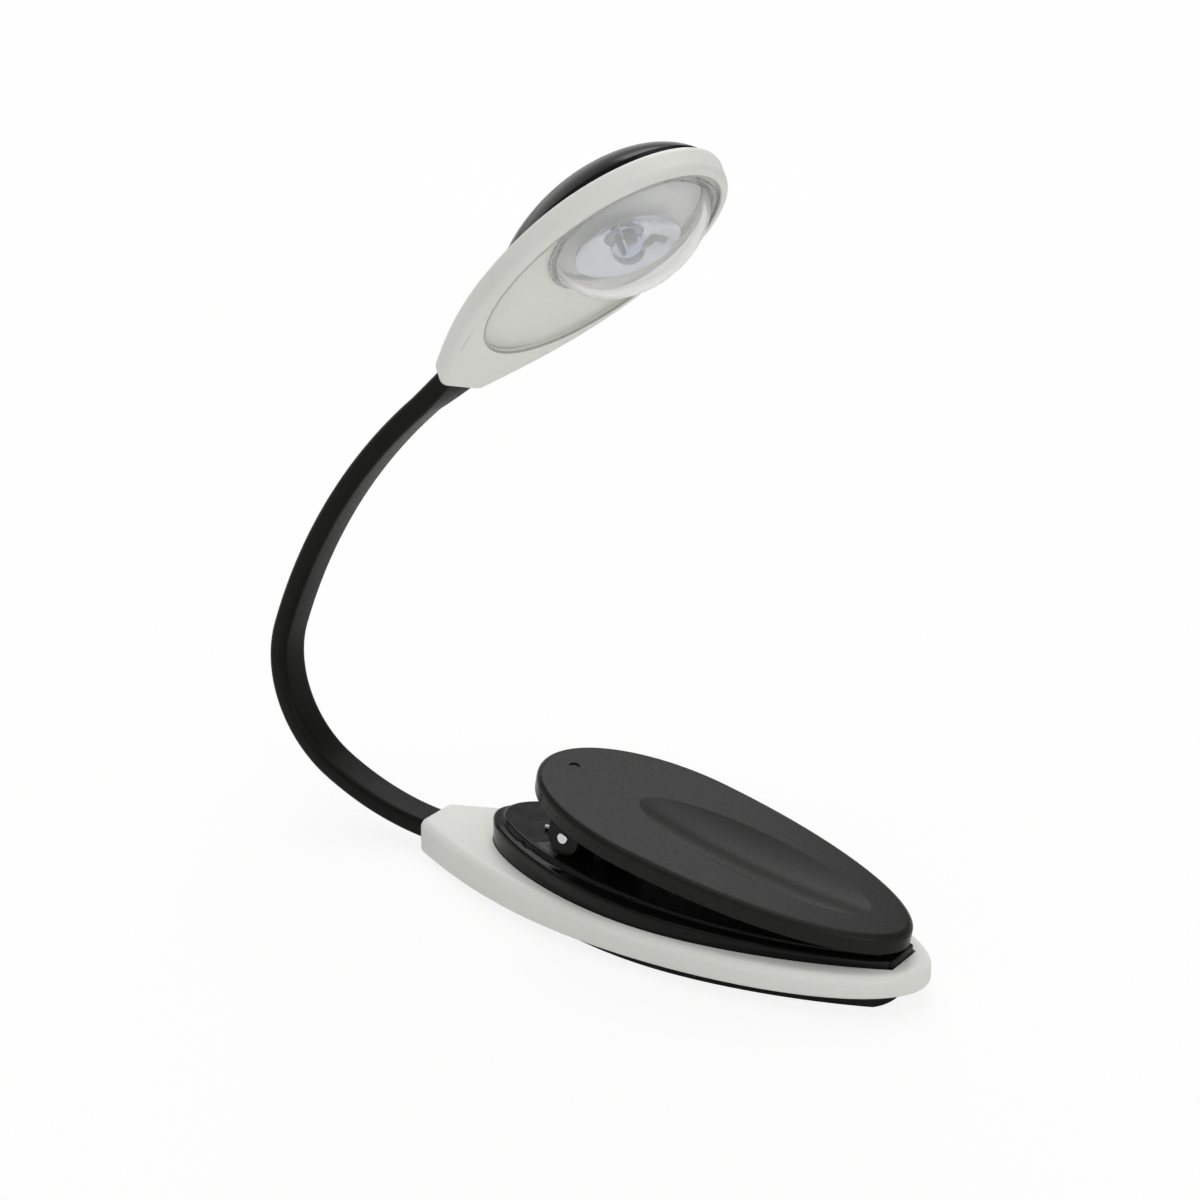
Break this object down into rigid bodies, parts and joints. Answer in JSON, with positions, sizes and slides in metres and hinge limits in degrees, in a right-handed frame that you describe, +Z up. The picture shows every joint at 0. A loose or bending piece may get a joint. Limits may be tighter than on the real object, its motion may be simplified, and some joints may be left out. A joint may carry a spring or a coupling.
{
  "type": "clip-on reading lamp",
  "caption": "Small battery reading lamp: leaf-shaped base with a sprung clip lever, flat flexible gooseneck and a leaf-shaped head with a domed clear lens and a push cap.",
  "frame": {"origin": "middle of the base's flat underside", "axes": "+Z up from the underside, +X along the base from the neck's collar to the rounded front, +Y across the base"},
  "size_m": [0.1254, 0.0324, 0.1252],
  "materials": {
    "white_shell": "satin moulded ABS",
    "black_gloss": "polished mould ABS",
    "black_matt": "fine spark-eroded ABS",
    "neck_rubber": "matt moulded sleeve",
    "pad_rubber": "soft moulded pad",
    "pin_steel": "bright plated steel",
    "spring_steel": "drawn spring wire",
    "screw_steel": "zinc plated",
    "cell_steel": "nickel-plated can",
    "contact_metal": "nickel-plated spring brass",
    "lens_clear": "clear moulded polycarbonate",
    "led_epoxy": "clear epoxy over a white chip",
    "reflector_bright": "vacuum-metallised plastic",
    "board_laminate": "white solder mask on glass laminate",
    "wire_cover": "extruded PVC",
    "switch_plastic": "moulded nylon"
  },
  "bodies": {
    "base": {"base_frame": "white_shell", "top_housing": "black_gloss", "bottom_cover": "black_matt", "battery_door": "black_matt", "door_screw": "screw_steel", "case_screws": "screw_steel", "coin_cells": "cell_steel", "contact_positive": "contact_metal", "contact_bridge": "contact_metal", "contact_negative": "contact_metal", "base_leads": "wire_cover", "hinge_pin": "pin_steel", "clip_spring": "spring_steel", "neck_root": "neck_rubber"},
    "lever": {"clip_lever": "black_matt", "jaw_pad": "pad_rubber"},
    "neck_1": {"neck_link_1": "neck_rubber"},
    "neck_2": {"neck_link_2": "neck_rubber"},
    "neck_3": {"neck_link_3": "neck_rubber"},
    "neck_4": {"neck_link_4": "neck_rubber"},
    "neck_5": {"neck_link_5": "neck_rubber"},
    "neck_6": {"neck_link_6": "neck_rubber"},
    "neck_7": {"neck_link_7": "neck_rubber"},
    "neck_8": {"neck_link_8": "neck_rubber"},
    "head": {"neck_tip": "neck_rubber", "head_frame": "white_shell", "lens": "lens_clear", "led_board": "board_laminate", "board_screws": "screw_steel", "led": "led_epoxy", "reflector": "reflector_bright", "switch_body": "switch_plastic", "head_leads": "wire_cover"},
    "cap": {"head_cap": "black_gloss", "switch_plunger": "switch_plastic"}
  },
  "joints": [
    {"name": "lever_pivot", "type": "hinge", "parent": "base", "child": "lever", "pos_m": [-0.014, 0, 0.0143], "axis": [0, -1, 0], "range_deg": [0, 26], "stiffness_Nm_per_rad": 0.12, "springref_deg": -28.65, "deforming": ["clip_spring"]},
    {"name": "neck_bend_1", "type": "hinge", "parent": "base", "child": "neck_1", "pos_m": [-0.0554, 0, 0.00547], "axis": [0, 1, 0], "range_deg": [-14, 5]},
    {"name": "neck_bend_2", "type": "hinge", "parent": "neck_1", "child": "neck_2", "pos_m": [-0.06675, 0, 0.00965], "axis": [0, 1, 0], "range_deg": [-14, 5]},
    {"name": "neck_bend_3", "type": "hinge", "parent": "neck_2", "child": "neck_3", "pos_m": [-0.07513, 0, 0.01814], "axis": [0, 1, 0], "range_deg": [-14, 5]},
    {"name": "neck_bend_4", "type": "hinge", "parent": "neck_3", "child": "neck_4", "pos_m": [-0.07694, 0, 0.02993], "axis": [0, 1, 0], "range_deg": [-14, 5]},
    {"name": "neck_bend_5", "type": "hinge", "parent": "neck_4", "child": "neck_5", "pos_m": [-0.07281, 0, 0.04129], "axis": [0, 1, 0], "range_deg": [-14, 5]},
    {"name": "neck_bend_6", "type": "hinge", "parent": "neck_5", "child": "neck_6", "pos_m": [-0.06718, 0, 0.05203], "axis": [0, 1, 0], "range_deg": [-14, 5]},
    {"name": "neck_bend_7", "type": "hinge", "parent": "neck_6", "child": "neck_7", "pos_m": [-0.0604, 0, 0.06207], "axis": [0, 1, 0], "range_deg": [-14, 5]},
    {"name": "neck_bend_8", "type": "hinge", "parent": "neck_7", "child": "neck_8", "pos_m": [-0.05254, 0, 0.07129], "axis": [0, 1, 0], "range_deg": [-14, 5]},
    {"name": "head_twist", "type": "hinge", "parent": "neck_8", "child": "head", "pos_m": [-0.0437, 0, 0.07959], "axis": [0.7431, 0, 0.6691], "range_deg": [-30, 30]},
    {"name": "cap_press", "type": "slide", "parent": "head", "child": "cap", "axis": [0.6204, -0.3746, -0.689], "range_m": [0, 0.0008], "stiffness_N_per_m": 2500, "springref_m": -0.0003}
  ]
}
